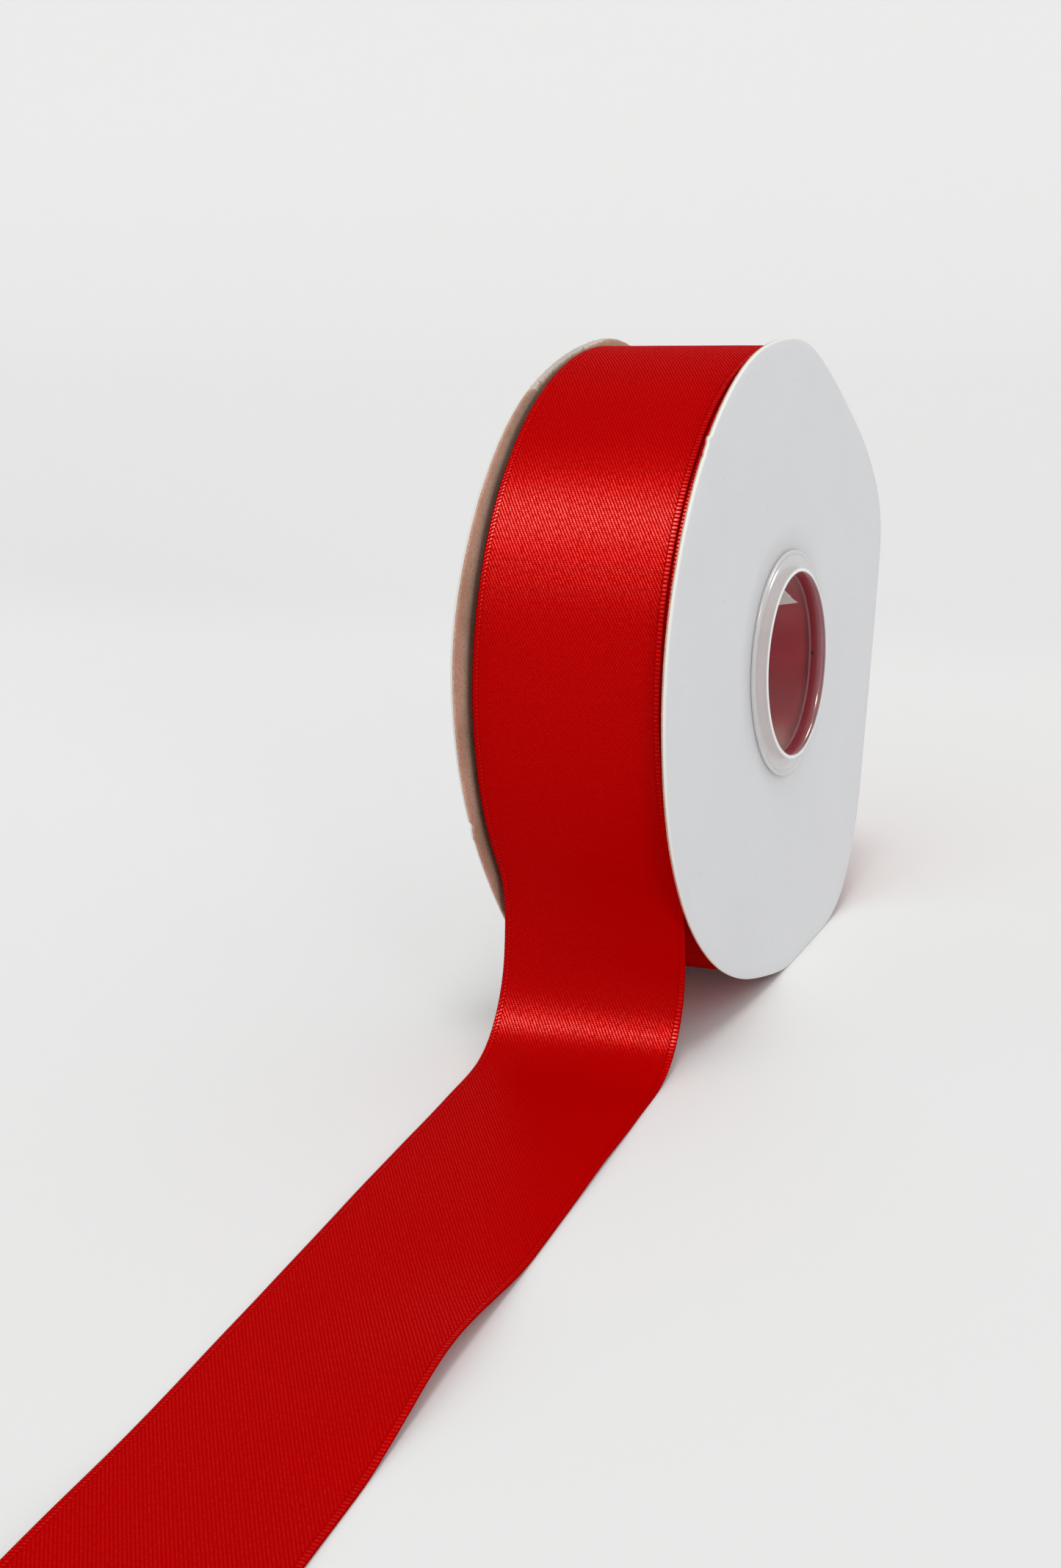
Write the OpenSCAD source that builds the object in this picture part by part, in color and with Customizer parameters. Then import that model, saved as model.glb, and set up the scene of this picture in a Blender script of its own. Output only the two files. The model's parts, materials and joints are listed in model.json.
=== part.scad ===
// Ribbon spool: satin ribbon wound on a clear hub between two paper-faced chipboard flanges,
// with its free end coming off the front of the roll and lying on the table.
// The hub's axis is X, the front of the spool faces -Y and +Z is up.
// The origin is the middle of the hub's bore.

/* [Ribbon] */
// Width of the ribbon
ribbon_w = 37.6; // [30:0.1:38]
// Thickness of the ribbon where it runs free
ribbon_t = 0.3; // [0.2:0.05:0.4]
// Outer radius of the wound pack, under the top wrap
pack_r = 63.3; // [50:0.1:63.5]
// Sideways offset of the top wrap from the middle of the spool
wrap_shift = -0.15; // [-0.8:0.05:0.8]
// Sideways offset of the wraps just under it
under_shift = 0.9; // [-1:0.1:1]
// How far below the hub's level the ribbon leaves the roll, as an angle round the roll
leave_angle = 26; // [20:1:32]
// Radius of the soft curve in which the ribbon leaves the roll
leave_bend_r = 30; // [20:1:33]
// Radius of the bend onto the table
table_bend_r = 16.5; // [10:0.5:18]
// How far the lying ribbon turns aside from straight ahead, in degrees
tail_turn = 3.9; // [0:0.1:6]
// Length of the lying ribbon that stays put when the end is pulled
lead_length = 40; // [20:5:80]
// Length of the lying ribbon that slides away when it is pulled
tail_length = 175; // [100:5:400]

/* [Flanges] */
// Nominal radius of a flange
flange_r = 66; // [66:0.1:68]
// Distance from the hub's axis to the flat that the spool stands on
stand_height = 65.5; // [64.5:0.1:65.5]
// Clear width between the two flanges
flange_gap = 41.3; // [41.3:0.1:44]
// Thickness of the brown chipboard
board_t = 0.7; // [0.6:0.1:2]
// Thickness of the white paper face
face_t = 0.2; // [0.15:0.05:0.4]

/* [Hub] */
// Bore of the hub
bore_d = 37.4; // [30:0.1:38]
// Wall of the hub's tube
hub_wall = 1; // [0.8:0.1:1.4]
// How far a flared lip reaches out over the flange, past the bore
lip_reach = 4.4; // [3:0.1:6]
// Thickness of a lip at its outer edge
lip_t = 1; // [0.4:0.1:1.2]
// How far the mouth of the bore stands above the lip's edge
mouth_rise = 1.3; // [0.5:0.1:1.5]

/* [Start tape] */
// Thickness of the paper tape that holds the ribbon's inner end
tape_t = 0.12; // [0.08:0.02:0.2]
// Where the tape starts, as an angle from the top towards the back
tape_start = 43; // [0:1:90]
// How far the tape reaches round the hub, as an angle
tape_angle = 24; // [15:1:60]
// Length of the tape along the hub
tape_length = 20; // [12:1:30]

/* [Hidden] */
$fn = 96;

// How far each flange's hand-cut edge wanders out from its nominal radius, at equal steps
// from the top towards the back
right_wander = [-0.7, -0.8, -2.4, -1.8, 2, 5.1, -1.5, -4.5, -3.7, 1.3, 5.3, 2.6,
                0.1, -1.5, -0.5, 1.3, 2.8, 3.2, 2.5, 1.9, 0.9, 0.3, 0.1, 0];
left_wander = [-1.6, 0, 0.4, 0, -0.2, 0.2, 1.2, 0.9, 0, -0.3, -0.2, 0.2,
               0.1, 0.5, 1.5, 0.4, -0.5, 0.2, 1.4, 2.3, 1.2, 0.2, -0.6, -1.7];
edge_points = 180;

bore_r = bore_d / 2;
tube_r = bore_r + hub_wall;
fit_gap = 0.02;
board_x = flange_gap / 2;
face_x = board_x + board_t;
lip_x = face_x + face_t;
lip_r = bore_r + lip_reach;
shoulder_r = tube_r + 0.6;
shoulder_x = lip_x + lip_t + 0.6 * mouth_rise;
mouth_x = lip_x + lip_t + mouth_rise;

tape_gap = 0.05;
tape_r = tube_r + tape_gap;
tape_tip_x = 18;
pack_bore_r = tape_r + tape_t + tape_gap;
pack_slack = 0.2;
under_depth = 0.5;

run_gap = 0.3;
wrap_r = pack_r + run_gap;
wrap_span = 350;
wrap_left = wrap_shift - ribbon_w / 2;

// The free ribbon's back face seen from the side, as [forward, up] with forward along -Y
leave_centre = (wrap_r + leave_bend_r) * [cos(leave_angle), -sin(leave_angle)];
hang_forward = leave_centre[0] - leave_bend_r;
bend_centre = [hang_forward + table_bend_r, table_bend_r - stand_height];
// The bend runs on straight past the place where the turned ribbon starts, so that they join
run_on = 4;
turned_from = 1.6;

// Points round an arc, in equal steps from the angle a0 to the angle a1
function arc(centre, r, a0, a1, steps = 16) =
  [for (i = [0:steps])
    let (a = a0 + (a1 - a0) * i / steps)
      centre + r * [cos(a), sin(a)]];

// One face of the hanging ribbon, inset from its back face
function drop_face(inset) =
  concat(arc(leave_centre, leave_bend_r - inset, 180 - leave_angle, 180),
         arc(bend_centre, table_bend_r - inset, 180, 270),
         [[bend_centre[0] + run_on, inset - stand_height]]);

function reversed(list) = [for (i = [len(list) - 1:-1:0]) list[i]];

// Turns a profile of [radius, place along the hub] round the hub, starting at the bottom
// and going up the back
module round_hub(angle = 360) {
  rotate([0, 90, 0])
    rotate_extrude(angle = angle, $fn = 144) children();
}

// The height at an angle of a smooth closed line through values at equal steps
function eased(values, angle) =
  let (n = len(values), at = angle * n / 360, i = floor(at), t = at - i,
       p = [for (k = [0:3]) values[(i + k + n - 1) % n]])
    p[1] + t / 2 * (p[2] - p[0] + t * (2 * p[0] - 5 * p[1] + 4 * p[2] - p[3]
                                       + t * (3 * (p[1] - p[2]) + p[3] - p[0])));

// A flat sheet in a flange's outline, from x to x + t
module flange_sheet(wander, x, t) {
  translate([x, 0, 0])
    rotate([90, 0, 90])
      linear_extrude(t)
        difference() {
          polygon([for (i = [0:edge_points - 1])
                     let (a = 360 * i / edge_points)
                       (flange_r + eased(wander, a)) * [sin(a), cos(a)]]);
          circle(tube_r + fit_gap);
          translate([-flange_r, -stand_height - flange_r]) square([2 * flange_r, flange_r]);
        }
}

// A stretch of ribbon lying on the table, measured from where the bend touches it
module lying_ribbon(from, to) {
  translate([wrap_shift, -bend_centre[0], -stand_height])
    rotate([0, 0, tail_turn])
      translate([-ribbon_w / 2, -to, 0]) cube([ribbon_w, to - from, ribbon_t]);
}

// Clear tube whose ends are flared out over both flanges
module hub_tube() {
  end = [[tube_r, lip_x], [lip_r, lip_x], [lip_r, lip_x + lip_t],
         [shoulder_r, shoulder_x], [tube_r, mouth_x], [bore_r, mouth_x]];
  color([0.86, 0.87, 0.88, 0.45])
    round_hub() polygon(concat(end, [for (p = reversed(end)) [p[0], -p[1]]]));
}

module right_board() {
  color("tan") flange_sheet(right_wander, board_x, board_t);
}

module right_paper_face() {
  color("white") flange_sheet(right_wander, face_x, face_t);
}

module left_board() {
  color("tan") flange_sheet(left_wander, -face_x, board_t);
}

module left_paper_face() {
  color("white") flange_sheet(left_wander, -lip_x, face_t);
}

// Paper tape that holds the ribbon's inner end on the hub
module start_tape() {
  color("ghostwhite")
    rotate([180 - tape_start - tape_angle, 0, 0])
      round_hub(tape_angle)
        translate([tape_r, tape_tip_x - tape_length]) square([tape_t, tape_length]);
}

// The wound ribbon, whose last wraps lie a little to the right
module ribbon_pack() {
  color("firebrick")
    round_hub()
      union() {
        translate([pack_bore_r, -ribbon_w / 2 - pack_slack])
          square([pack_r - under_depth - pack_bore_r, ribbon_w + 2 * pack_slack]);
        translate([pack_r - 2 * under_depth, under_shift - ribbon_w / 2])
          square([2 * under_depth, ribbon_w]);
      }
}

// The last wrap of the roll, from under the drop, up the back and down the front
module ribbon_top_wrap() {
  color("red")
    rotate([270 + leave_angle - wrap_span, 0, 0])
      round_hub(wrap_span)
        translate([wrap_r, wrap_left]) square([ribbon_t, ribbon_w]);
}

// The ribbon from where it leaves the roll, down to the table and a little way along it
module ribbon_drop() {
  color("red")
    union() {
      translate([wrap_left + ribbon_w, 0, 0])
        rotate([90, 0, -90])
          linear_extrude(ribbon_w)
            polygon(concat(drop_face(0), reversed(drop_face(ribbon_t))));
      lying_ribbon(turned_from, lead_length);
    }
}

// The free end, which slides away over the table
module ribbon_tail() {
  color("red") lying_ribbon(lead_length + run_gap, lead_length + run_gap + tail_length);
}

hub_tube();
right_board();
right_paper_face();
left_board();
left_paper_face();
start_tape();
ribbon_pack();
ribbon_top_wrap();
ribbon_drop();
ribbon_tail();
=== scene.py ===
import json
import math

import bmesh
import bpy
import numpy as np
from mathutils import Matrix, Vector, noise


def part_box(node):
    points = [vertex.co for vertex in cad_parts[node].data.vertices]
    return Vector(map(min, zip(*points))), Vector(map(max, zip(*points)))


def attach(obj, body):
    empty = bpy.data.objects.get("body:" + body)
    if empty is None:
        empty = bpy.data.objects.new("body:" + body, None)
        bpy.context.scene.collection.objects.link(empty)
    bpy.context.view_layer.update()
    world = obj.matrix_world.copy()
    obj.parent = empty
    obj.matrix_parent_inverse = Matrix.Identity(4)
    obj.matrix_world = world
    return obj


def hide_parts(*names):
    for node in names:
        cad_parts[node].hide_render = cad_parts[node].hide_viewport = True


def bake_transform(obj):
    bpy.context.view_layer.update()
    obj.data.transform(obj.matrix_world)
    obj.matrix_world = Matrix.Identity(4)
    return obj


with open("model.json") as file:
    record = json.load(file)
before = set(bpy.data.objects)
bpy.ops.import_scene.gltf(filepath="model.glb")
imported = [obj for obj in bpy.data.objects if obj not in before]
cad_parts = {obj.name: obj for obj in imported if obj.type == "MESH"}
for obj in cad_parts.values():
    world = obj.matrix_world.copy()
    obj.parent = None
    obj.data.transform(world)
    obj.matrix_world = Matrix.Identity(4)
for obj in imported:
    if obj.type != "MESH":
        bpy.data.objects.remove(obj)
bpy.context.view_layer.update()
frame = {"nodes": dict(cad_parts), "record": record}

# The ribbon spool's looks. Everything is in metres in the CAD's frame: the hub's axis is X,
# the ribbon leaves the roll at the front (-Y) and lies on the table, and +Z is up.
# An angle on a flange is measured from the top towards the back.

MM = 0.001

# Sizes from the frame
HUB_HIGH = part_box("hub_tube")[1]
MOUTH_OUT, LIP_RADIUS = HUB_HIGH.x, HUB_HIGH.y
BOARD_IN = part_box("right_board")[0].x
FACE_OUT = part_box("right_paper_face")[1].x
PACK_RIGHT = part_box("ribbon_pack")[1].x
WRAP_LOW, WRAP_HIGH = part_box("ribbon_top_wrap")
RIBBON_WIDTH = WRAP_HIGH.x - WRAP_LOW.x
RIBBON_MIDDLE = (WRAP_HIGH.x + WRAP_LOW.x) / 2
FLOOR_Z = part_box("ribbon_drop")[0].z
TAIL_END_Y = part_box("ribbon_tail")[0].y
RECORD = frame["record"]
BORE_RADIUS = RECORD["mounts"][0]["dims"]["r_mm"] * MM
PULL_AXIS = Vector(RECORD["behaviour"]["joints"][1]["axis"])

# The ribbon's route, as the CAD lays it
CAD_RIBBON_THICKNESS = 0.3 * MM
WRAP_RADIUS = 63.6 * MM
LEAVE_ANGLE = math.radians(26)
LEAVE_BEND_RADIUS = 30 * MM
TABLE_BEND_RADIUS = 16.5 * MM
# The bend onto the table tightens over the first of these lengths and opens over the second
BEND_TIGHTENS, BEND_OPENS = 14 * MM, 22 * MM
# The last wrap's inner end is tucked in a little over the first part of its turn
WRAP_SPAN = math.radians(350)
TUCK_SPAN = math.radians(40)
TUCK_DEPTH = 0.22 * MM
TAIL_TURN = math.atan2(PULL_AXIS.x, -PULL_AXIS.y)
LEAVE_CENTRE = (
    (WRAP_RADIUS + LEAVE_BEND_RADIUS) * math.cos(LEAVE_ANGLE),
    -(WRAP_RADIUS + LEAVE_BEND_RADIUS) * math.sin(LEAVE_ANGLE),
)
HANG_FORWARD = LEAVE_CENTRE[0] - LEAVE_BEND_RADIUS
TOUCH_FORWARD = HANG_FORWARD + TABLE_BEND_RADIUS
LYING_LENGTH = (
    -TAIL_END_Y - TOUCH_FORWARD - RIBBON_WIDTH / 2 * math.sin(TAIL_TURN)
) / math.cos(TAIL_TURN)

# The ribbon as cloth
RIBBON_THICKNESS = 0.24 * MM
SELVAGE_WIDTH = 1.35 * MM
SELVAGE_RISE = 0.05 * MM
STATION_STEP = 0.8 * MM
# Stations stand so many times closer together in the bends
BEND_DENSITY = 1.6
TABLE_CLEARANCE = 0.02 * MM
# The UV map that the satin reads: across the ribbon and along it, in ribbon widths
RIBBON_UV = "ribbon"

# The hub's tube, and the holes in the flanges round it
TUBE_RADIUS = 19.7 * MM
HOLE_RADIUS = TUBE_RADIUS + 0.04 * MM


# ---------------------------------------------------------------- mesh helpers


def smoothstep(t):
    t = min(1.0, max(0.0, t))
    return t * t * (3 - 2 * t)


def bell(x, centre, half_width):
    """1 at centre, falling smoothly to 0 at half_width either side."""
    return smoothstep(1 - abs(x - centre) / half_width)


def wobble(x, y=0.0, seed=0.0):
    """Smooth noise from -1 to 1."""
    return noise.noise(Vector((x, y, seed)))


def new_object(name, points, faces, uvs=None):
    """A smooth mesh object at the origin. uvs gives one (u, v) for each point."""
    mesh = bpy.data.meshes.new(name)
    mesh.from_pydata([tuple(p) for p in points], [], faces)
    mesh.validate()
    if uvs is not None:
        layer = mesh.uv_layers.new(name=RIBBON_UV)
        corner_points = np.zeros(len(mesh.loops), np.int32)
        mesh.loops.foreach_get("vertex_index", corner_points)
        layer.data.foreach_set("uv", np.asarray(uvs, np.float32)[corner_points].ravel())
    work = bmesh.new()
    work.from_mesh(mesh)
    bmesh.ops.recalc_face_normals(work, faces=work.faces)
    work.to_mesh(mesh)
    work.free()
    mesh.polygons.foreach_set("use_smooth", [True] * len(mesh.polygons))
    made = bpy.data.objects.new(name, mesh)
    bpy.context.scene.collection.objects.link(made)
    return made


def grid_faces(rows, columns, close_rows=False, close_columns=False):
    """Quads over a grid of points that are numbered row by row."""
    faces = []
    for i in range(rows if close_rows else rows - 1):
        below = i * columns
        above = (i + 1) % rows * columns
        for j in range(columns if close_columns else columns - 1):
            after = (j + 1) % columns
            faces.append((below + j, below + after, above + after, above + j))
    return faces


def round_hub(x, radius, angle):
    """The point at that place along the hub, radius and angle from the top towards the back."""
    return Vector((x, radius * math.sin(angle), radius * math.cos(angle)))


def turned(name, profile, steps, shape=None):
    """A closed profile of (x, radius) turned round the hub. Where it is given,
    shape(index, x, radius, angle) returns the (x, radius) to use instead."""
    points = []
    for i in range(steps):
        angle = 2 * math.pi * i / steps
        for j, (x, radius) in enumerate(profile):
            if shape is not None:
                x, radius = shape(j, x, radius, angle)
            points.append(round_hub(x, radius, angle))
    return new_object(name, points, grid_faces(steps, len(profile), True, True))


def smooth_profile(points, per_span):
    """A closed Catmull-Rom line through the points, with so many points for each of them."""
    count = len(points)
    made = []
    for i in range(count):
        p0, p1, p2, p3 = (np.array(points[(i + k) % count]) for k in (-1, 0, 1, 2))
        for k in range(per_span):
            t = k / per_span
            made.append(
                0.5
                * (
                    2 * p1
                    + (p2 - p0) * t
                    + (2 * p0 - 5 * p1 + 4 * p2 - p3) * t**2
                    + (3 * p1 - p0 - 3 * p2 + p3) * t**3
                )
            )
    return [tuple(p) for p in made]


# ------------------------------------------------------------- material helpers


class Shader:
    """A material's node tree, with short ways to add nodes to it."""

    def __init__(self, name, **settings):
        self.material = bpy.data.materials.new(name)
        self.material.use_nodes = True
        self.tree = self.material.node_tree
        self.surface = self.tree.nodes["Principled BSDF"]
        for socket, value in settings.items():
            self.feed(self.surface.inputs[socket.replace("_", " ")], value)

    def feed(self, socket, value):
        if isinstance(value, bpy.types.NodeSocket):
            self.tree.links.new(value, socket)
        else:
            socket.default_value = value

    def node(self, kind, output=0, inputs=(), **settings):
        made = self.tree.nodes.new(kind)
        for name, value in settings.items():
            setattr(made, name, value)
        for key, value in dict(inputs).items():
            self.feed(made.inputs[key], value)
        return made.outputs[output]

    def math(self, operation, *values, clamp=False):
        return self.node(
            "ShaderNodeMath", inputs=enumerate(values), operation=operation, use_clamp=clamp
        )

    def mix(self, factor, a, b, blend_type="MIX"):
        """A mix of two colours."""
        made = self.tree.nodes.new("ShaderNodeMix")
        made.data_type = "RGBA"
        made.blend_type = blend_type
        for index, value in ((0, factor), (6, a), (7, b)):
            self.feed(made.inputs[index], value)
        return made.outputs[2]

    def spread(self, value, low, high, to_low=0.0, to_high=1.0):
        """value's range low to high, spread smoothly over to_low to to_high."""
        return self.node(
            "ShaderNodeMapRange",
            inputs={0: value, 1: low, 2: high, 3: to_low, 4: to_high},
            interpolation_type="SMOOTHSTEP",
        )

    def band(self, value, low, high, soft):
        """1 where value lies between low and high, fading to 0 outside."""
        return self.math(
            "MULTIPLY",
            self.spread(value, low - soft, low + soft),
            self.spread(value, high + soft, high - soft),
        )

    def noise(self, vector, scale, detail=2.0, roughness=0.5, distortion=0.0):
        return self.node(
            "ShaderNodeTexNoise",
            inputs={
                "Vector": vector,
                "Scale": scale,
                "Detail": detail,
                "Roughness": roughness,
                "Distortion": distortion,
            },
        )

    def place(self):
        """Where the point is on the object, in metres."""
        return self.node("ShaderNodeTexCoord", output="Object")

    def split(self, vector):
        """The vector's three parts."""
        made = self.tree.nodes.new("ShaderNodeSeparateXYZ")
        self.feed(made.inputs[0], vector)
        return made.outputs

    def from_axis(self, y, z):
        """How far a point at y and z is from the hub's axis."""
        squares = self.math("ADD", self.math("POWER", y, 2.0), self.math("POWER", z, 2.0))
        return self.math("SQRT", squares)

    def stretched(self, vector, scale):
        return self.node("ShaderNodeMapping", inputs={"Vector": vector, "Scale": scale})

    def wave(self, across, along, cycles_across, cycles_along):
        """A wave from 0 to 1 with so many cycles a millimetre."""
        phase = self.math(
            "ADD",
            self.math("MULTIPLY", across, 2 * math.pi * cycles_across),
            self.math("MULTIPLY", along, 2 * math.pi * cycles_along),
        )
        return self.math("MULTIPLY_ADD", self.math("COSINE", phase), 0.5, 0.5)

    def bump(self, height, distance, strength=1.0):
        made = self.node(
            "ShaderNodeBump",
            inputs={"Height": height, "Distance": distance, "Strength": strength},
        )
        self.feed(self.surface.inputs["Normal"], made)

    def colour(self, value):
        self.feed(self.surface.inputs["Base Color"], value)

    def rough(self, value):
        self.feed(self.surface.inputs["Roughness"], value)


# -------------------------------------------------------------------- materials

RED_FLOAT = (0.500, 0.0004, 0.0004, 1)
RED_VALLEY = (0.452, 0.0002, 0.0003, 1)
PAINTED_SHADE_RED = (0.14, 0.0002, 0.0003, 1)
# The satin's floats repeat in this lattice, in cycles a millimetre across and along
TWILL = (1.55, -0.93)
CROSS_TWILL = (1.65, 1.5)
# Weft loops turn round the edge threads, so many a millimetre along. Right of the ribbon's
# middle they make one ladder; left of it, two rows of slanted stitches. Each row is
# (from, to, softness) in millimetres from the edge, and slants by so many cycles a millimetre.
SELVAGE_LOOPS = 1.27
LADDER, LADDER_SLANT = (0.16, 1.08, 0.10), 0.05
OUTER_STITCHES, INNER_STITCHES, STITCH_SLANT = (0.10, 0.50, 0.07), (0.74, 1.16, 0.07), 0.75
SELVAGE_SEAM = (1.16, 1.44, 0.08)
# How much the bare metal-like floats and the clear coat over them shine
FLOAT_SHINE, COAT_SHINE = 0.18, 0.22


def satin(name):
    """Single-faced polyester satin: short floats in steep twill lines, and looped selvages."""
    shader = Shader(
        name,
        Specular_IOR_Level=0.0,
        Anisotropic=0.6,
        Coat_Roughness=0.30,
        Coat_IOR=1.45,
    )
    width_mm = RIBBON_WIDTH / MM
    u, v, _ = shader.split(shader.node("ShaderNodeUVMap", uv_map=RIBBON_UV))
    across = shader.math("MULTIPLY", u, width_mm)
    along = shader.math("MULTIPLY", v, width_mm)

    lines = shader.spread(shader.wave(across, along, *TWILL), 0.25, 0.85)
    dashes = shader.wave(across, along, *CROSS_TWILL)
    floats = shader.math("MULTIPLY", lines, shader.math("MULTIPLY_ADD", dashes, 0.9, 0.1))

    from_edge = shader.math("MINIMUM", across, shader.math("SUBTRACT", width_mm, across))
    ladder = shader.math(
        "MULTIPLY",
        shader.band(from_edge, *LADDER),
        shader.spread(shader.wave(from_edge, along, LADDER_SLANT, SELVAGE_LOOPS), 0.30, 0.80),
    )
    stitches = shader.math(
        "MULTIPLY",
        shader.math(
            "ADD",
            shader.band(from_edge, *OUTER_STITCHES),
            shader.band(from_edge, *INNER_STITCHES),
        ),
        shader.spread(shader.wave(from_edge, along, STITCH_SLANT, SELVAGE_LOOPS), 0.35, 0.85),
    )
    on_right = shader.spread(across, width_mm / 2 - 1, width_mm / 2 + 1)
    loops = shader.math(
        "ADD",
        shader.math("MULTIPLY", ladder, on_right),
        shader.math("MULTIPLY", stitches, shader.math("SUBTRACT", 1.0, on_right)),
    )
    selvage_mm = SELVAGE_WIDTH / MM
    in_selvage = shader.spread(from_edge, selvage_mm + 0.08, selvage_mm - 0.08)
    height = shader.math(
        "ADD",
        shader.math("MULTIPLY", floats, shader.math("SUBTRACT", 1.0, in_selvage)),
        shader.math("MULTIPLY", loops, in_selvage),
    )

    # Uneven yarn: long faint streaks along the ribbon, slow patches, and a fine grain
    streak_place = shader.node(
        "ShaderNodeCombineXYZ",
        inputs={0: shader.math("MULTIPLY", across, 2.2), 1: shader.math("MULTIPLY", along, 0.05)},
    )
    streaks = shader.noise(streak_place, 1.0, 2.0, 0.6)
    patch_place = shader.node("ShaderNodeCombineXYZ", inputs={0: across, 1: along})
    patches = shader.noise(patch_place, 0.09, 2.0, 0.5)
    # Seen edge-on, the floats hide the shine between them
    edge_on = shader.node("ShaderNodeLayerWeight", output="Facing", inputs={"Blend": 0.5})
    face_on = shader.math("POWER", shader.math("SUBTRACT", 1.0, edge_on), 1.8)
    grain = shader.spread(shader.noise(patch_place, 1.25, 2.0, 0.6), 0.34, 0.66, 0.45, 1.55)
    # The selvages shine more, and the left one the most
    edge_gain = shader.math("MULTIPLY_ADD", on_right, -0.4, 0.5)
    brighter = shader.math("MULTIPLY_ADD", in_selvage, edge_gain, 1.0)
    shine = shader.math("MULTIPLY", height, shader.math("MULTIPLY_ADD", streaks, 0.3, 0.85))
    shine = shader.math("MULTIPLY", shine, shader.math("MULTIPLY", grain, brighter))
    shader.feed(
        shader.surface.inputs["Metallic"],
        shader.math("MULTIPLY_ADD", shine, FLOAT_SHINE, 0.010),
    )
    shader.feed(
        shader.surface.inputs["Coat Weight"],
        shader.math(
            "MULTIPLY", shader.math("MULTIPLY", shine, face_on), COAT_SHINE, clamp=True
        ),
    )
    # Painted shade: the weave's valleys are coloured darker than its floats. The streaks and
    # patches vary the red at random, as uneven yarn does.
    lit = shader.math(
        "MULTIPLY_ADD", height, 0.9, shader.math("MULTIPLY", streaks, 0.2), clamp=True
    )
    colour = shader.mix(lit, RED_VALLEY, RED_FLOAT)
    colour = shader.mix(shader.spread(patches, 0.3, 0.7, 0.0, 0.14), colour, RED_VALLEY)
    # Painted shade at its very edge and in the seam inside the selvage
    edge_shade = shader.spread(from_edge, 0.0, 0.3, 0.45, 0.0)
    seam_shade = shader.math("MULTIPLY", shader.band(from_edge, *SELVAGE_SEAM), 0.12)
    colour = shader.mix(shader.math("ADD", edge_shade, seam_shade), colour, PAINTED_SHADE_RED)
    shader.colour(colour)
    shader.rough(
        shader.math(
            "ADD",
            shader.math("MULTIPLY_ADD", height, -0.08, 0.38),
            shader.math("MULTIPLY", streaks, 0.08),
        )
    )
    shader.feed(
        shader.surface.inputs["Tangent"],
        shader.node("ShaderNodeTangent", direction_type="UV_MAP", uv_map=RIBBON_UV),
    )
    relief = shader.math("MULTIPLY", height, shader.math("MULTIPLY_ADD", in_selvage, 1.5, 1.0))
    shader.bump(relief, 0.022 * MM, 0.8)
    return shader.material


# The rings on the roll's sides, in radians of their wave for each metre outwards
RING_PHASE = 3400.0


def wound_edges():
    """The roll's sides, where the edges of many wraps show as fine rings, with painted shade
    between them.
    """
    shader = Shader("wound_edges", Specular_IOR_Level=0.15)
    place = shader.place()
    _, y, z = shader.split(place)
    jitter = shader.noise(place, 120.0, 3.0)
    turns = shader.math("MULTIPLY_ADD", shader.from_axis(y, z), RING_PHASE, jitter)
    rings = shader.math("MULTIPLY_ADD", shader.math("SINE", turns), 0.5, 0.5)
    fuzz = shader.noise(place, 2600.0, 3.0, 0.7)
    mixed = shader.math("MULTIPLY", rings, fuzz)
    # Painted shade: dark red between the rings, in the gaps between the wraps' edges, varied by
    # the fuzz
    shader.colour(shader.mix(mixed, PAINTED_SHADE_RED, RED_FLOAT))
    shader.rough(shader.math("MULTIPLY_ADD", fuzz, 0.3, 0.5))
    shader.bump(mixed, 0.15 * MM, 0.8)
    return shader.material


def wound_bore():
    """The inside of the roll: the ribbon's first wrap, seen through the hub."""
    dark, light, thread = (0.19, 0.002, 0.008, 1), (0.56, 0.022, 0.042, 1), (0.30, 0.004, 0.01, 1)
    shader = Shader("wound_bore", Specular_IOR_Level=0.2)
    place = shader.place()
    slow = shader.noise(shader.stretched(place, (0.4, 1, 1)), 110.0, 3.0, 0.6)
    threads = shader.noise(shader.stretched(place, (4, 1, 1)), 900.0, 2.0, 0.6)
    colour = shader.mix(slow, dark, light)
    colour = shader.mix(shader.spread(threads, 0.4, 0.8, 0.0, 0.25), colour, thread)
    shader.colour(colour)
    shader.rough(shader.math("MULTIPLY_ADD", threads, 0.2, 0.42))
    shader.bump(threads, 0.05 * MM, 0.5)
    return shader.material


def kraft_board():
    """Brown chipboard: matted fibres, darker specks and a rough cut rim."""
    dark, light = (0.46, 0.285, 0.195, 1), (0.63, 0.405, 0.295, 1)
    fibre, speck = (0.70, 0.52, 0.41, 1), (0.19, 0.105, 0.075, 1)
    shader = Shader("kraft_board", Specular_IOR_Level=0.2)
    place = shader.place()
    mottle = shader.noise(place, 90.0, 4.0, 0.6)
    fibres = shader.noise(shader.stretched(place, (1, 3.2, 1)), 1400.0, 4.0, 0.75, 0.6)
    specks = shader.noise(place, 3600.0, 2.0, 0.6)
    colour = shader.mix(shader.spread(mottle, 0.3, 0.7), dark, light)
    colour = shader.mix(shader.spread(fibres, 0.42, 0.72, 0.0, 0.55), colour, fibre)
    colour = shader.mix(shader.spread(specks, 0.57, 0.68, 0.0, 0.8), colour, speck)
    shader.colour(colour)
    shader.rough(shader.math("MULTIPLY_ADD", fibres, 0.2, 0.75))
    shader.bump(fibres, 0.12 * MM, 0.6)
    return shader.material


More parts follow.
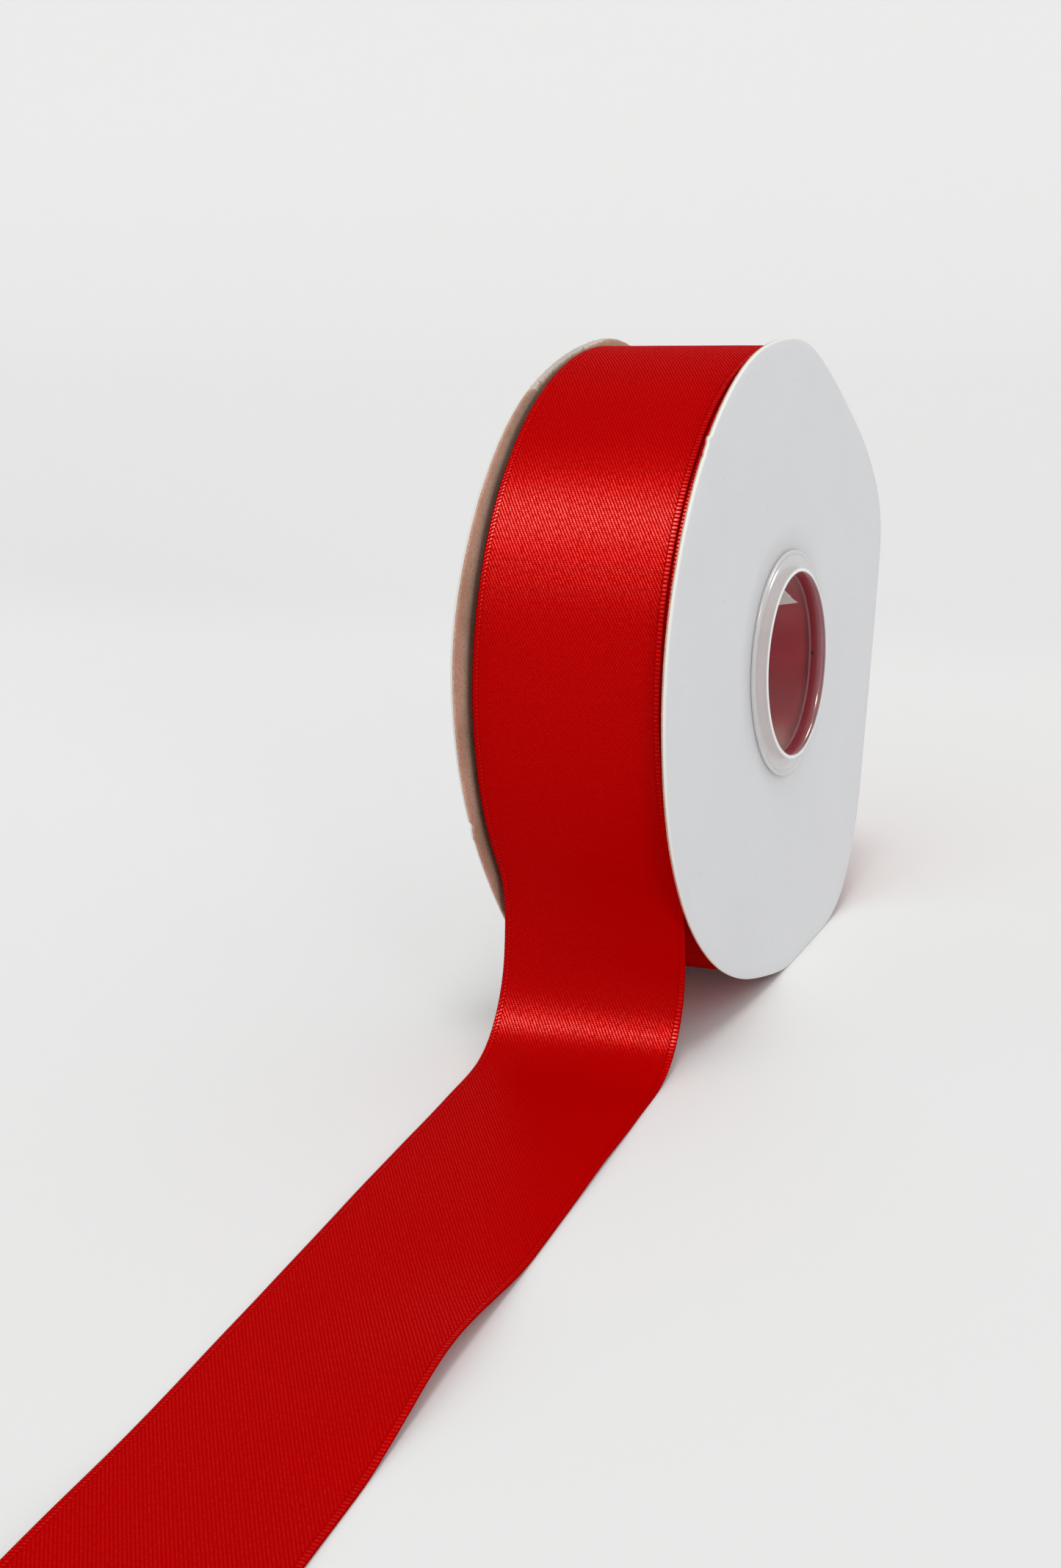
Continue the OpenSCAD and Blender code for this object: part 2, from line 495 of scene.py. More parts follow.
def white_paper():
    """Smooth coated white paper with a faint tooth and a few specks, creamier where it is
    rolled over the board's rim."""
    dark, light = (0.650, 0.654, 0.670, 1), (0.697, 0.700, 0.714, 1)
    speck, rolled_rim = (0.45, 0.42, 0.40, 1), (0.80, 0.785, 0.755, 1)
    shader = Shader("white_paper", Specular_IOR_Level=0.28, Sheen_Weight=0.05)
    place = shader.place()
    clouds = shader.noise(place, 45.0, 3.0, 0.55)
    tooth = shader.noise(place, 2400.0, 3.0, 0.6)
    specks = shader.noise(place, 700.0, 1.0, 0.4)
    colour = shader.mix(clouds, dark, light)
    colour = shader.mix(shader.spread(specks, 0.735, 0.775, 0.0, 0.25), colour, speck)
    out = shader.math("ABSOLUTE", shader.split(place)[0])
    rolled = shader.spread(out, FACE_OUT - 0.05 * MM, FACE_OUT - 0.14 * MM, 0.0, 0.85)
    shader.colour(shader.mix(rolled, colour, rolled_rim))
    shader.rough(shader.math("MULTIPLY_ADD", tooth, 0.12, 0.52))
    shader.bump(tooth, 0.02 * MM, 0.35)
    return shader.material


def torn_paper():
    """The fluffy cream inside of torn paper."""
    dark, light, fibre = (0.80, 0.77, 0.69, 1), (0.90, 0.885, 0.84, 1), (0.50, 0.43, 0.34, 1)
    shader = Shader("torn_paper", Specular_IOR_Level=0.15)
    place = shader.place()
    fibres = shader.noise(shader.stretched(place, (1, 2.5, 1)), 1700.0, 4.0, 0.75, 0.8)
    patches = shader.noise(place, 500.0, 2.0)
    colour = shader.mix(patches, dark, light)
    shader.colour(shader.mix(shader.spread(fibres, 0.55, 0.75, 0.0, 0.45), colour, fibre))
    shader.rough(shader.math("MULTIPLY_ADD", fibres, 0.1, 0.8))
    shader.bump(fibres, 0.1 * MM, 0.7)
    return shader.material


def tape_paper():
    """White paper tape with a light crepe."""
    dark, light = (0.86, 0.82, 0.79, 1), (0.95, 0.93, 0.90, 1)
    shader = Shader("tape_paper", Specular_IOR_Level=0.2)
    place = shader.place()
    crepe = shader.noise(shader.stretched(place, (0.3, 1, 1)), 1800.0, 3.0, 0.6)
    shader.colour(shader.mix(crepe, dark, light))
    shader.rough(shader.math("MULTIPLY_ADD", crepe, 0.15, 0.6))
    shader.bump(crepe, 0.04 * MM, 0.5)
    return shader.material


# A dark moulding speck in the bore: how far along the hub it is and its angle, and its
# radius from its dark middle to its faded edge
SPECK_X, SPECK_ANGLE = 20.8 * MM, math.radians(97)
SPECK_RADII = 0.26 * MM, 0.40 * MM


def hazy_plastic():
    """Clear moulded plastic with a light haze and fine scuffs. Past the roll, its bore wall is
    painted red and made less clear, standing in for the roll's red light that the clear wall
    carries towards its mouths, whose rims stay white."""
    dark, light = (0.80, 0.795, 0.79, 1), (0.87, 0.865, 0.86, 1)
    painted_red_light, speck_colour = (0.30, 0.026, 0.042, 1), (0.03, 0.02, 0.02, 1)
    shader = Shader("hazy_plastic", IOR=1.49, Specular_IOR_Level=0.5)
    place = shader.place()
    x, y, z = shader.split(place)
    out = shader.math("ABSOLUTE", x)
    radius = shader.from_axis(y, z)
    scuffs = shader.noise(shader.stretched(place, (1, 0.25, 0.25)), 1500.0, 3.0, 0.7)
    haze = shader.noise(place, 160.0, 2.0)
    in_bore = shader.spread(radius, BORE_RADIUS + 0.20 * MM, BORE_RADIUS + 0.08 * MM)
    past_roll = shader.math(
        "MULTIPLY",
        shader.spread(out, BOARD_IN - 0.7 * MM, BOARD_IN),
        shader.spread(out, MOUTH_OUT - 0.12 * MM, MOUTH_OUT - 0.40 * MM),
    )
    painted_red_share = shader.math("MULTIPLY", in_bore, past_roll)
    rim = shader.spread(out, MOUTH_OUT - 0.28 * MM, MOUTH_OUT - 0.08 * MM)
    flare = shader.math(
        "MULTIPLY",
        shader.spread(out, FACE_OUT - 0.1 * MM, FACE_OUT + 0.1 * MM),
        shader.math("SUBTRACT", 1.0, in_bore),
    )
    speck_distance = shader.node(
        "ShaderNodeVectorMath",
        output="Value",
        inputs={0: place, 1: round_hub(SPECK_X, BORE_RADIUS, SPECK_ANGLE)},
        operation="DISTANCE",
    )
    speck = shader.spread(speck_distance, SPECK_RADII[1], SPECK_RADII[0])
    # Painted light: the roll's red, carried along the clear wall, is painted onto the bore past
    # the roll
    colour = shader.mix(painted_red_share, shader.mix(haze, dark, light), painted_red_light)
    shader.colour(shader.mix(speck, colour, speck_colour))
    scuffed = shader.math("MULTIPLY_ADD", scuffs, 0.1, 0.06)
    shader.rough(shader.math("MULTIPLY_ADD", haze, 0.14, scuffed))
    edge_on = shader.node("ShaderNodeLayerWeight", output="Facing", inputs={"Blend": 0.3})
    # How much it hides: least where it is seen square on, most at its painted red wall and its
    # lips
    alpha = shader.math("MULTIPLY_ADD", haze, 0.03, 0.008)
    alpha = shader.math("MULTIPLY_ADD", edge_on, 0.20, alpha)
    alpha = shader.math("MULTIPLY_ADD", painted_red_share, 0.75, alpha)
    alpha = shader.math("MULTIPLY_ADD", flare, 0.45, alpha)
    alpha = shader.math("ADD", alpha, speck)
    alpha = shader.math("MULTIPLY_ADD", rim, 0.5, alpha, clamp=True)
    shader.feed(shader.surface.inputs["Alpha"], alpha)
    shader.bump(scuffs, 0.01 * MM, 0.3)
    return shader.material


def studio_surface():
    """The pale matt sweep that the spool stands on, with painted shade making it a little darker
    behind it.
    """
    dark, light, far_painted_shade = (0.86, 0.86, 0.85, 1), (0.877, 0.877, 0.868, 1), (0.81, 0.81, 0.80, 1)
    shader = Shader("studio_surface", Specular_IOR_Level=0.0)
    place = shader.place()
    clouds = shader.noise(place, 3.0, 2.0)
    # Painted shade: the sweep darkens towards the back, where it rises into the backdrop
    far = shader.spread(shader.split(place)[1], 0.22, 0.34, 0.0, 0.6)
    shader.colour(shader.mix(far, shader.mix(clouds, dark, light), far_painted_shade))
    shader.rough(0.85)
    return shader.material


# ---------------------------------------------------------------------- ribbon


class Station:
    """One place along the ribbon: its back face's middle, and its own directions."""

    def __init__(self, length, point, outward, across, lying):
        self.length = length
        self.point = point
        self.outward = outward
        self.across = across
        self.lying = lying


def table_bend():
    """The bend onto the table, seen from the side: ((forward, up), outward normal) from the
    corner where the hanging line would meet the table, the bend's end last."""
    length = math.pi / 2 * TABLE_BEND_RADIUS + (BEND_TIGHTENS + BEND_OPENS) / 2
    substeps = 8
    count = round(length / STATION_STEP * BEND_DENSITY)
    step = length / count / substeps
    forward, up, heading = 0.0, 0.0, -math.pi / 2
    found = []
    for k in range(1, count * substeps + 1):
        middle = (k - 0.5) * step
        share = min(smoothstep(middle / BEND_TIGHTENS), smoothstep((length - middle) / BEND_OPENS))
        heading += share * step / TABLE_BEND_RADIUS
        forward += step * math.cos(heading)
        up += step * math.sin(heading)
        if k % substeps == 0:
            found.append(((forward, up), (-math.sin(heading), math.cos(heading))))
    drop = found[-1][0][1]
    return [((forward, up - drop), out) for (forward, up), out in found]


def side_view_route():
    """The ribbon's back face seen from the side, from the inner end of the last wrap to the
    free end: (forward, up), its outward normal, and how far it has come along the table."""
    route = []
    steps = round(WRAP_SPAN * WRAP_RADIUS / STATION_STEP)
    for i in range(steps + 1):
        angle = WRAP_SPAN * (1 - i / steps) - LEAVE_ANGLE
        tucked = smoothstep((angle - WRAP_SPAN + LEAVE_ANGLE + TUCK_SPAN) / TUCK_SPAN)
        radius = WRAP_RADIUS - tucked * TUCK_DEPTH
        out = (math.cos(angle), math.sin(angle))
        route.append(((radius * out[0], radius * out[1]), out, 0.0))

    steps = round(LEAVE_ANGLE * LEAVE_BEND_RADIUS / STATION_STEP * BEND_DENSITY)
    for k in range(1, steps + 1):
        angle = LEAVE_ANGLE * (1 - k / steps)
        out = (math.cos(angle), -math.sin(angle))
        forward = LEAVE_CENTRE[0] - LEAVE_BEND_RADIUS * out[0]
        up = LEAVE_CENTRE[1] - LEAVE_BEND_RADIUS * out[1]
        route.append(((forward, up), out, 0.0))

    table = FLOOR_Z + TABLE_CLEARANCE
    for (forward, up), out in table_bend():
        lying = max(0.0, HANG_FORWARD + forward - TOUCH_FORWARD)
        route.append(((HANG_FORWARD + forward, table + up), out, lying))
    count = round((LYING_LENGTH - lying) / STATION_STEP)
    for k in range(1, count + 1):
        further = lying + (LYING_LENGTH - lying) * k / count
        route.append(((TOUCH_FORWARD + further, table), (0.0, 1.0), further))
    return route


# The ribbon twists towards the tail's direction over this drop, in front of the roll only
TWIST_TOP = LEAVE_CENTRE[1] + 8 * MM
TWIST_DROP = 30 * MM
TWIST_FORWARD = 40 * MM


def ribbon_stations():
    """Stations along the whole ribbon. Below the roll it twists a little, until it lies
    along the direction in which the tail is pulled."""
    touch = Vector((RIBBON_MIDDLE, -TOUCH_FORWARD, 0))
    stations = []
    length = 0.0
    last = None
    for (forward, up), out, lying in side_view_route():
        point = Vector((RIBBON_MIDDLE, -forward, up))
        if lying > 0:
            turn = TAIL_TURN
        elif forward < TWIST_FORWARD:
            turn = 0.0
        else:
            turn = TAIL_TURN * smoothstep((TWIST_TOP - up) / TWIST_DROP)
        spin = Matrix.Rotation(turn, 3, "Z")
        point = touch + spin @ (point - touch)
        outward = spin @ Vector((0, -out[0], out[1]))
        across = spin @ Vector((1, 0, 0))
        if last is not None:
            length += (point - last).length
        last = point
        stations.append(Station(length, point, outward, across, lying))
    return stations


# Where an edge of the lying ribbon curls up: (side, height, how far along, half length,
# where across it the curl starts, how sharply it rises). Side 1 is the right.
EDGE_CURLS = (
    (1, 3.6 * MM, 100 * MM, 34 * MM, -7 * MM, 1.7),
    (1, 0.4 * MM, 34 * MM, 20 * MM, -7 * MM, 2.0),
    (-1, 1.2 * MM, 165 * MM, 45 * MM, 8 * MM, 1.8),
)
SLOW_LIFT = 0.22 * MM
LIFT_STARTS_OVER = 15 * MM


def lying_lift(across, lying):
    """How far the lying ribbon stands off the table, at its edges' curls and elsewhere."""
    if lying <= 0:
        return 0.0
    half = RIBBON_WIDTH / 2
    lift = SLOW_LIFT * (1 + wobble(lying * 28, across * 22, 4.0))
    for side, height, along, half_length, start, sharpness in EDGE_CURLS:
        share = max(0.0, (side * across - start) / (half - start))
        lift += height * bell(lying, along, half_length) * share**sharpness
    return lift * smoothstep(lying / LIFT_STARTS_OVER)


def selvage_columns():
    """Places across the ribbon, closer together at its edges, each with the thickness there."""
    half = RIBBON_WIDTH / 2
    inner = half - SELVAGE_WIDTH
    from_middle_mm = (0.0, 3.6, 7.2, 10.6, 13.6, 15.8)
    columns = [place * MM for place in from_middle_mm]
    columns += [inner - 0.2 * MM, inner, inner + 0.25 * MM]
    columns += [half - 0.8 * MM, half - 0.4 * MM, half - 0.12 * MM, half]
    columns = [-place for place in reversed(columns[1:])] + columns
    made = []
    for place in columns:
        from_edge = half - abs(place)
        bead = SELVAGE_RISE * bell(from_edge, 0.6 * MM, 0.75 * MM)
        narrowing = 0.45 * RIBBON_THICKNESS * smoothstep(1 - from_edge / (0.14 * MM))
        made.append((place, RIBBON_THICKNESS + bead - narrowing))
    return made


def make_ribbon(material):
    """The ribbon's last wrap, its drop and its lying end, as one sheet: at each station, a
    loop of points over its front and back over its other face."""
    stations = ribbon_stations()
    columns = selvage_columns()
    half = RIBBON_WIDTH / 2
    points, uvs = [], []
    for station in stations:
        edge_walk = 0.10 * MM * wobble(station.length * 60, 0.0, 9.0)
        rest = smoothstep(station.lying / (20 * MM))
        for face in (1, 0):
            ordered = columns if face else reversed(columns)
            for place, thickness in ordered:
                shifted = place + edge_walk
                stand = lying_lift(place, station.lying)
                dent = 0.05 * MM * wobble(station.length * 130, place * 90, 2.0) * (1 - rest)
                height = stand + (thickness + dent if face else 0.0)
                points.append(station.point + station.across * shifted + station.outward * height)
                uvs.append(((place + half) / RIBBON_WIDTH, station.length / RIBBON_WIDTH))
    loop = 2 * len(columns)
    faces = grid_faces(len(stations), loop, False, True)
    count = len(columns)
    for start in (0, (len(stations) - 1) * loop):
        for j in range(count - 1):
            faces.append((start + j, start + j + 1, start + loop - 2 - j, start + loop - 1 - j))
    ribbon = new_object("ribbon_run", points, faces, uvs)
    ribbon.data.materials.append(material)
    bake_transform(ribbon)
    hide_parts("ribbon_top_wrap", "ribbon_drop", "ribbon_tail")


def make_under_wrap(material):
    """The wrap just under the last one, which lies further to the right."""
    columns = selvage_columns()
    half = RIBBON_WIDTH / 2
    outer = WRAP_RADIUS - CAD_RIBBON_THICKNESS
    middle = PACK_RIGHT - half
    steps = 480
    whole_turn = 2 * math.pi * outer
    points, uvs = [], []
    for i in range(steps + 1):
        angle = 2 * math.pi * i / steps
        walk = 0.12 * MM * (wobble(math.cos(angle) * 2, math.sin(angle) * 2, 5.0) - 0.6)
        for face in (1, 0):
            for place, thickness in columns if face else reversed(columns):
                depth = RIBBON_THICKNESS + SELVAGE_RISE - (thickness if face else 0.0)
                points.append(round_hub(middle + place + walk, outer - depth, angle))
                along = whole_turn * i / steps
                uvs.append(((place + half) / RIBBON_WIDTH, along / RIBBON_WIDTH))
    wrap = new_object(
        "ribbon_under_wrap", points, grid_faces(steps + 1, 2 * len(columns), False, True), uvs
    )
    wrap.data.materials.append(material)
    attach(wrap, "reel")


def make_pack(edge_material, bore_material):
    """The wound ribbon: each ring is a wrap's edge, a little further in or out than the next.
    The first few wraps reach the boards."""
    inner = TUBE_RADIUS + 0.22 * MM
    outer = WRAP_RADIUS - 0.62 * MM
    side = 19.1 * MM
    wraps = 104
    reaching_wraps = 4
    steps = 240
    profile = []
    for k in range(wraps + 1):
        profile.append((side, inner + (outer - inner) * k / wraps))
    for k in range(wraps + 1):
        profile.append((-side, outer - (outer - inner) * k / wraps))

    def edge(index, x, radius, angle):
        wrap = index if x > 0 else 2 * wraps + 1 - index
        slow = wobble(math.cos(angle) * 1.5 + wrap * 7.1, math.sin(angle) * 1.5, wrap * 0.37)
        step = 0.14 * MM * (wrap % 2) + 0.22 * MM * slow
        if wrap < reaching_wraps:
            step = (0.05 + 0.1 * wrap) * MM - (BOARD_IN - side)
        return x - math.copysign(1, x) * step, radius

    pack = turned("ribbon_pack_roll", profile, steps, edge)
    pack.data.materials.append(edge_material)
    pack.data.materials.append(bore_material)
    for face in pack.data.polygons:
        if math.hypot(face.center.y, face.center.z) < inner + 0.02 * MM:
            face.material_index = 1
    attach(pack, "reel")
    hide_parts("ribbon_pack")


# --------------------------------------------------------------------- flanges


def flange_sides(node):
    """Where the flange's sheet starts and ends along X, its inner side first."""
    low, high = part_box(node)
    return (low.x, high.x) if low.x > 0 else (high.x, low.x)


def flange_edge(node):
    """The flange's outline in the CAD, as a function of the angle."""
    found = {}
    for vertex in frame["nodes"][node].data.vertices:
        y, z = vertex.co.y, vertex.co.z
        if math.hypot(y, z) > LIP_RADIUS:
            angle = math.atan2(y, z) % (2 * math.pi)
            found[round(angle, 4)] = (y, z)
    angles = sorted(found)
    corners = [found[a] for a in angles]
    count = len(angles)

    def radius(angle):
        angle %= 2 * math.pi
        i = int(np.searchsorted(angles, angle)) % count
        (y0, z0), (y1, z1) = corners[i - 1], corners[i]
        dy, dz = math.sin(angle), math.cos(angle)
        return (y0 * z1 - z0 * y1) / (dy * (z1 - z0) - dz * (y1 - y0))

    return radius


FLANGE_STEPS = 900
# The outline's corners are eased with a Gaussian of this width
EDGE_SOFTNESS = math.radians(3)
# How deep the board's outer side is crushed at its edge, where the paper rolls over it
CRUSH = 0.38 * MM


def flange_reach(node, marks):
    """The outline at each of FLANGE_STEPS angles: the CAD's, with its corners eased, its
    standing flat kept on the table and the marks on it."""
    edge = flange_edge(node)
    angles = [2 * math.pi * i / FLANGE_STEPS for i in range(FLANGE_STEPS)]
    drawn = np.array([edge(angle) for angle in angles])
    spread = EDGE_SOFTNESS / (2 * math.pi / FLANGE_STEPS)
    reach = int(3 * spread)
    weights = np.exp(-0.5 * (np.arange(-reach, reach + 1) / spread) ** 2)
    weights /= weights.sum()
    wrapped = np.concatenate([drawn[-reach:], drawn, drawn[:reach]])
    eased = np.convolve(wrapped, weights, "valid")
    made = []
    for angle, radius in zip(angles, eased):
        radius += marked(marks, angle)
        down = -math.cos(angle)
        if down > 0.5:
            radius = min(radius, -FLOOR_Z / down)
        made.append(radius)
    return made


# Marks on the flanges' edges: (angle in degrees, half width in degrees, how far out or in)
RIGHT_MARKS = ((321.4, 1.1, 0.55 * MM), (318.2, 0.8, -0.25 * MM))
LEFT_MARKS = ((253.0, 1.0, -0.6 * MM), (250.6, 0.8, 0.3 * MM))
# Where the left board's brown ply is torn back, in degrees, and how deep it is at the most
TEAR_FROM, TEAR_TO = 334.0, 372.0
TEAR_DEPTH = 1.7 * MM


def marked(marks, angle):
    """How far the marks move the edge at that angle."""
    degrees = math.degrees(angle) % 360
    return sum(depth * bell(degrees, at, half) for at, half, depth in marks)


def tear_depth(angle):
    """How far the left board's brown ply is torn back from its edge at that angle."""
    degrees = math.degrees(angle) % 360
    if degrees < 180:
        degrees += 360
    if not TEAR_FROM < degrees < TEAR_TO:
        return 0.0
    inside = smoothstep((degrees - TEAR_FROM) / 4) * smoothstep((TEAR_TO - degrees) / 5)
    shallower = 1.15 - 0.7 * (degrees - TEAR_FROM) / (TEAR_TO - TEAR_FROM)
    ragged = 0.6 + 0.45 * wobble(degrees * 0.55, 0.0, 3.0) + 0.35 * wobble(degrees * 2.1, 0.0, 6.0)
    return inside * shallower * max(0.15, ragged) * TEAR_DEPTH


def make_board(name, node, marks, torn, material):
    """Chipboard with a fuzzy cut edge, crushed a little on its outer side. Its profile is
    (share of the thickness, share of the way out to the edge, millimetres further out)."""
    reaches = flange_reach(node, marks)
    inner, outer = flange_sides(node)
    thickness = outer - inner
    crushed = 1 - CRUSH / abs(thickness)
    shares = [0.0, 0.25, 0.5, 0.7, 0.85, 0.95, 0.985]
    profile = [(0.0, share, 0.0) for share in shares]
    profile += [(0.0, 1.0, -0.08), (0.12, 1.0, -0.02), (0.3 * crushed, 1.0, 0.0)]
    profile += [(0.65 * crushed, 1.0, -0.03), (crushed, 1.0, -0.01), (1.0, 1.0, -0.5)]
    profile += [(1.0, share, -0.5 * share) for share in reversed(shares)]
    points = []
    for i, reach in enumerate(reaches):
        angle = 2 * math.pi * i / FLANGE_STEPS
        fuzz = 0.06 * MM * wobble(i * 0.31, 0.0, 1.0)
        torn_back = tear_depth(angle) if torn else 0.0
        for depth, share, further in profile:
            radius = HOLE_RADIUS + (reach - torn_back - HOLE_RADIUS) * share + further * MM
            if share == 1.0:
                radius += fuzz + 0.05 * MM * wobble(i * 0.7, depth * 5, 8.0)
            points.append(
                round_hub(inner + thickness * depth, max(HOLE_RADIUS, radius), angle)
            )
    board = new_object(name, points, grid_faces(FLANGE_STEPS, len(profile), True, True))
    board.data.materials.append(material)
    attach(board, "reel")
    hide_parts(node)


def make_paper_face(name, node, marks, material):
    """The paper glued over the outside of a board, rolled over its edge where it was cut. Its
    profile is (x, share of the way out to the edge, millimetres further out)."""
    reaches = flange_reach(node, marks)
    inner, outer = flange_sides(node)
    way = math.copysign(1, outer)
    shares = [0.0, 0.2, 0.4, 0.6, 0.75, 0.87, 0.95]
    profile = [(inner, share, -0.5 * share) for share in shares]
    profile += [(inner, 1.0, -0.5), (inner - way * CRUSH, 1.0, 0.0)]
    profile += [(inner - way * (CRUSH - 0.06 * MM), 1.0, 0.06)]
    profile += [(outer - way * 0.42 * MM, 1.0, 0.03), (outer - way * 0.20 * MM, 1.0, -0.10)]
    profile += [(outer - way * 0.06 * MM, 1.0, -0.27), (outer, 1.0, -0.52)]
    profile += [(outer, share, -0.52 * share) for share in reversed(shares)]
    points = []
    for i, reach in enumerate(reaches):
        angle = 2 * math.pi * i / FLANGE_STEPS
        for x, share, further in profile:
            radius = HOLE_RADIUS + (reach - HOLE_RADIUS) * share + further * MM
            if share == 1.0:
                radius += 0.03 * MM * wobble(i * 0.9, x * 900, 2.0)
            if x == outer and 0.1 < share < 1.0:
                swell = wobble(radius * 26 * math.cos(angle), radius * 26 * math.sin(angle), 7.0)
                x -= way * 0.05 * MM * (0.5 + 0.5 * swell)
            points.append(round_hub(x, radius, angle))
    face = new_object(name, points, grid_faces(FLANGE_STEPS, len(profile), True, True))
    face.data.materials.append(material)
    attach(face, "reel")
    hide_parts(node)


def make_torn_ply(material):
    """The pale inside of the left flange, where its brown ply is torn back at the top."""
    inside, outside = flange_sides("left_board")
    edge = flange_edge("left_board")
    steps = 260
    first, last = math.radians(TEAR_FROM), math.radians(TEAR_TO)
    points = []
    for i in range(steps + 1):
        angle = first + (last - first) * i / steps
        reach = edge(angle)
        torn_back = tear_depth(angle)
        rough = 0.5 + 0.5 * wobble(i * 0.16, 0.0, 11.0) + 0.35 * wobble(i * 0.55, 4.0, 11.0)
        top = reach + (0.55 * rough - 0.1) * MM * smoothstep(torn_back / (0.5 * MM))
        bottom = reach - torn_back - 0.25 * MM
        span = max(0.3 * MM, top - bottom)
        fluff = 0.26 * MM * wobble(i * 0.5, 3.0, 12.0)
        loop = (
            (outside + 0.02 * MM, bottom),
            (inside - 0.30 * MM, bottom),
            (inside - 0.22 * MM + 0.5 * fluff, bottom + 0.30 * span),
            (inside - 0.45 * MM + fluff, bottom + 0.60 * span),
            (outside + 0.35 * MM + 0.4 * fluff, bottom + 0.88 * span),
            (outside + 0.12 * MM, top),
            (outside + 0.02 * MM, top - 0.08 * MM),
        )
        points += [round_hub(x, radius, angle) for x, radius in loop]
    count = len(loop)
    faces = grid_faces(steps + 1, count, False, True)
    faces.append(tuple(range(count)))
    faces.append(tuple(steps * count + k for k in range(count)))
    ply = new_object("left_torn_ply", points, faces)
    ply.data.materials.append(material)
    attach(ply, "reel")


# ------------------------------------------------------------------ hub and tape


def make_hub(material):
    """Clear tube with a flared lip at each end: an outer bead, a groove, a sloping band and
    a raised mouth. The profile is (x, radius), from the tube's outside over the lip and back
    along the bore."""
    lip = LIP_RADIUS
    mouth = MOUTH_OUT
    tube = TUBE_RADIUS - 0.02 * MM
    under = FACE_OUT + 0.02 * MM
    half = [
        (0.0, tube),
        (under - 2.00 * MM, tube),
        (under - 0.25 * MM, tube),
        (under, tube + 0.35 * MM),
        (under, lip - 0.9 * MM),
        (under + 0.02 * MM, lip - 0.25 * MM),
        (under + 0.30 * MM, lip - 0.01 * MM),
        (under + 0.62 * MM, lip - 0.10 * MM),
        (under + 0.80 * MM, lip - 0.42 * MM),
        (under + 0.66 * MM, lip - 0.78 * MM),
        (under + 0.62 * MM, lip - 1.02 * MM),
        (under + 0.90 * MM, lip - 1.30 * MM),
        (under + 1.30 * MM, lip - 2.10 * MM),
        (mouth - 0.50 * MM, tube + 0.40 * MM),
        (mouth - 0.14 * MM, BORE_RADIUS + 0.62 * MM),
        (mouth, BORE_RADIUS + 0.34 * MM),
        (mouth - 0.08 * MM, BORE_RADIUS + 0.10 * MM),
        (mouth - 0.40 * MM, BORE_RADIUS + 0.01 * MM),
        (mouth - 1.40 * MM, BORE_RADIUS),
        (8.00 * MM, BORE_RADIUS),
    ]
    profile = half + [(-x, radius) for x, radius in reversed(half) if x > 0]
    hub = turned("hub_tube_clear", smooth_profile(profile, 3), 192)
    hub.data.materials.append(material)
    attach(hub, "reel")
    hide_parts("hub_tube")


# The tape's angles round the hub in degrees, and the share of the way round where its torn
# end reaches furthest. It falls back on both sides by so many millimetres for the whole way.
TAPE_FROM, TAPE_TO = 43.0, 67.0
TAPE_TIP_AT = 0.88
TAPE_FALL_BEFORE, TAPE_FALL_AFTER = 4.6, 38.0


def make_tape(material):
    """Torn paper tape round the hub's tube, under the first wrap."""
    low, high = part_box("start_tape")
    rows, columns = 40, 30
    points = []
    for radius in (TUBE_RADIUS + 0.06 * MM, TUBE_RADIUS + 0.16 * MM):
        for i in range(rows + 1):
            angle = math.radians(TAPE_FROM + (TAPE_TO - TAPE_FROM) * i / rows)
            ragged = 0.5 + 0.5 * wobble(i * 0.62, 0.0, 21.0)
            before_tip = TAPE_TIP_AT - i / rows
            fall = max(TAPE_FALL_BEFORE * before_tip, -TAPE_FALL_AFTER * before_tip)
            tip = high.x - (fall + 0.8 * ragged * smoothstep(abs(before_tip) * 8)) * MM
            for j in range(columns + 1):
                x = low.x + (tip - low.x) * j / columns
                points.append(round_hub(x, radius, angle))
    row = columns + 1
    count = (rows + 1) * row
    faces = grid_faces(rows + 1, row)
    faces += [tuple(count + k for k in reversed(face)) for face in faces]
    rim = list(range(row))
    rim += [i * row + columns for i in range(1, rows + 1)]
    rim += [rows * row + j for j in range(columns - 1, -1, -1)]
    rim += [i * row for i in range(rows - 1, 0, -1)]
    for k, first in enumerate(rim):
        second = rim[(k + 1) % len(rim)]
        faces.append((first, second, count + second, count + first))
    tape = new_object("start_tape_torn", points, faces)
    tape.data.materials.append(material)
    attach(tape, "reel")
    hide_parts("start_tape")


# ---------------------------------------------------------------------- studio


def make_sweep(material):
    """Floor that curves up into a backdrop far behind the spool."""
    width, front, back, height, curve = 6.0, -3.0, 2.2, 3.5, 1.2
    curve_steps = 24
    side_view = [(front, 0.0), (back - curve, 0.0)]
    for k in range(1, curve_steps + 1):
        angle = math.pi / 2 * k / curve_steps
        further = curve * math.sin(angle)
        side_view.append((back - curve + further, curve * (1 - math.cos(angle))))
    side_view.append((back, height))
    points = []
    for y, z in side_view:
        points += [(-width / 2, y, FLOOR_Z + z), (width / 2, y, FLOOR_Z + z)]
    sweep = new_object("studio_sweep", points, grid_faces(len(side_view), 2))
    sweep.data.materials.append(material)


WORLD_COLOUR, WORLD_STRENGTH = (0.985, 0.99, 1, 1), 0.73
# Soft lights far away that matt surfaces see: (name, direction of the light, level). A white
# surface that faces one looks as bright as its level.
FAR_LIGHT_WIDTH = math.radians(15)
FAR_LIGHTS = (
    ("key_light", (0.12, -0.25, 0.96), 0.205),
    ("fill_light", (0.75, -0.65, 0.10), 0.165),
)
